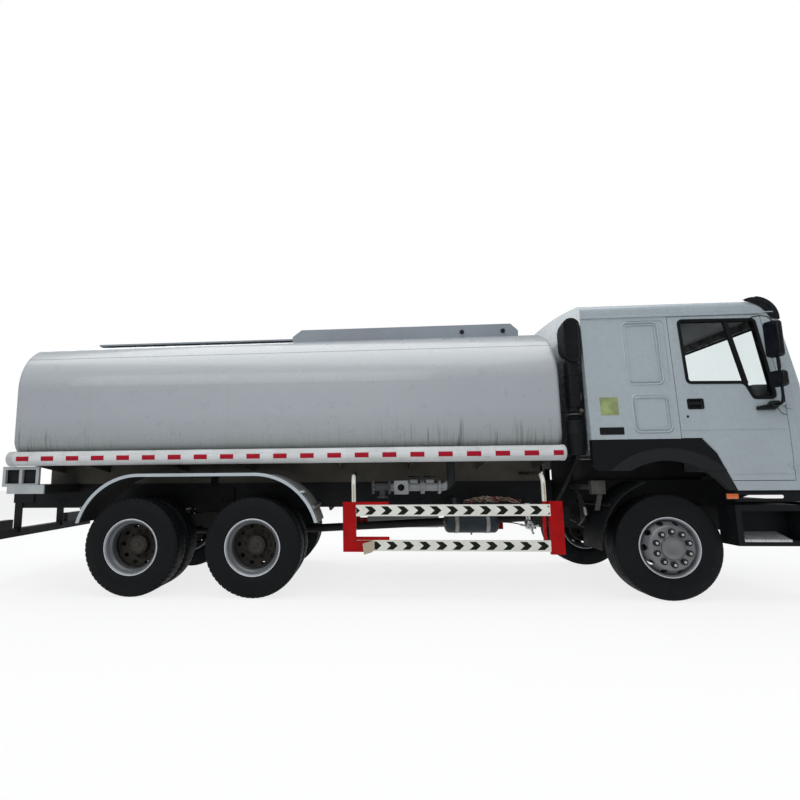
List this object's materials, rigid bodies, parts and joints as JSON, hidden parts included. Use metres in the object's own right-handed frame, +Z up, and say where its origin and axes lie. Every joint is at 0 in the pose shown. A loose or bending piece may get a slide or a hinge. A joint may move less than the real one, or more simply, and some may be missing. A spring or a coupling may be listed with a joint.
{
  "type": "water tanker truck",
  "caption": "Forward-control tanker truck with a tilting sleeper cab, opening doors, steered front wheels, twin rear axles and a long rounded tank with a manhole.",
  "frame": {"origin": "on the ground, under the middle of the length and width", "axes": "+X forward, +Y to the left, +Z up"},
  "size_m": [9.1, 3, 3.1899],
  "materials": {
    "black_paint": "satin, dusty",
    "engine_metal": "rough",
    "white_paint": "gloss, soiled",
    "blue_grey_paint": "satin",
    "guard_paint": "satin",
    "black_plastic": "matt",
    "grey_paint": "satin",
    "teal_paint": "satin",
    "bare_metal": "satin",
    "glass": "clear",
    "lamp_lens": "clear",
    "red_lens": "gloss",
    "tyre": "matt",
    "wheel_silver": "satin",
    "wheel_brown": "dusty",
    "seat_cloth": "woven"
  },
  "bodies": {
    "chassis": {"air_intake": "black_plastic", "air_tanks": "teal_paint", "cab_mudguards": "black_plastic", "catwalk": "blue_grey_paint", "engine": "engine_metal", "exhaust": "engine_metal", "frame": "black_paint", "front_axle": "black_paint", "front_bumper": "black_paint", "fuel_tank": "bare_metal", "headlamps": "lamp_lens", "hose_tubes": "white_paint", "manhole_neck": "blue_grey_paint", "mudguards": "black_plastic", "pipework": "grey_paint", "prop_shafts": "black_paint", "rear_axles": "black_paint", "rear_platform": "white_paint", "rear_springs": "black_paint", "side_guards": "guard_paint", "tail_lamps": "red_lens", "tank": "white_paint", "tank_cradle": "white_paint", "underrun_bar": "black_paint"},
    "cab": {"cab_floor": "white_paint", "cab_sides": "white_paint", "cab_back": "white_paint", "cab_roof": "white_paint", "cab_front": "white_paint", "grille": "black_plastic", "arch_panels": "black_plastic", "windscreen": "glass", "sun_visor": "black_plastic", "seats": "seat_cloth", "bunk": "seat_cloth", "dashboard": "black_plastic", "steering_wheel": "black_plastic"},
    "manhole_cover": {"manhole_lid": "blue_grey_paint"},
    "door_right_leaf": {"door_right": "white_paint", "door_glass_right": "glass", "mirror_right": "black_plastic"},
    "steering_right": {"knuckle_right": "black_paint"},
    "front_wheel_right": {"wheel_front_right": "wheel_silver", "tyre_front_right": "tyre"},
    "middle_wheels_right": {"wheels_middle_right": "wheel_brown", "tyres_middle_right": "tyre"},
    "rear_wheels_right": {"wheels_rear_right": "wheel_brown", "tyres_rear_right": "tyre"},
    "door_left_leaf": {"door_left": "white_paint", "door_glass_left": "glass", "mirror_left": "black_plastic"},
    "steering_left": {"knuckle_left": "black_paint"},
    "front_wheel_left": {"wheel_front_left": "wheel_silver", "tyre_front_left": "tyre"},
    "middle_wheels_left": {"wheels_middle_left": "wheel_brown", "tyres_middle_left": "tyre"},
    "rear_wheels_left": {"wheels_rear_left": "wheel_brown", "tyres_rear_left": "tyre"}
  },
  "joints": [
    {"name": "cab_tilt", "type": "hinge", "parent": "chassis", "child": "cab", "pos_m": [4.43, 0, 1.07], "axis": [0, 1, 0], "range_deg": [0, 50]},
    {"name": "manhole_cover_hinge", "type": "hinge", "parent": "chassis", "child": "manhole_cover", "pos_m": [1.173, 0, 3.119], "axis": [0, -1, 0], "range_deg": [0, 110]},
    {"name": "door_right_hinge", "type": "hinge", "parent": "cab", "child": "door_right_leaf", "pos_m": [4.278, -1.25, 1.65], "axis": [0, 0, 1], "range_deg": [0, 70]},
    {"name": "door_left_hinge", "type": "hinge", "parent": "cab", "child": "door_left_leaf", "pos_m": [4.278, 1.25, 1.65], "axis": [0, 0, -1], "range_deg": [0, 70]},
    {"name": "steer_right", "type": "hinge", "parent": "chassis", "child": "steering_right", "pos_m": [3.07, -0.93, 0.532], "axis": [0, 0, 1], "range_deg": [-35, 35]},
    {"name": "spin_front_right", "type": "hinge", "parent": "steering_right", "child": "front_wheel_right", "pos_m": [3.07, -1.011, 0.532], "axis": [0, 1, 0], "continuous": true},
    {"name": "spin_middle_right", "type": "hinge", "parent": "chassis", "child": "middle_wheels_right", "pos_m": [-1.23, -0.925, 0.532], "axis": [0, 1, 0], "continuous": true},
    {"name": "spin_rear_right", "type": "hinge", "parent": "chassis", "child": "rear_wheels_right", "pos_m": [-2.58, -0.925, 0.532], "axis": [0, 1, 0], "continuous": true},
    {"name": "steer_left", "type": "hinge", "parent": "chassis", "child": "steering_left", "pos_m": [3.07, 0.93, 0.532], "axis": [0, 0, 1], "range_deg": [-35, 35]},
    {"name": "spin_front_left", "type": "hinge", "parent": "steering_left", "child": "front_wheel_left", "pos_m": [3.07, 1.011, 0.532], "axis": [0, 1, 0], "continuous": true},
    {"name": "spin_middle_left", "type": "hinge", "parent": "chassis", "child": "middle_wheels_left", "pos_m": [-1.23, 0.925, 0.532], "axis": [0, 1, 0], "continuous": true},
    {"name": "spin_rear_left", "type": "hinge", "parent": "chassis", "child": "rear_wheels_left", "pos_m": [-2.58, 0.925, 0.532], "axis": [0, 1, 0], "continuous": true}
  ],
  "couplings": [
    {"joint": "steer_left", "follows": "steer_right", "ratio": 1}
  ]
}
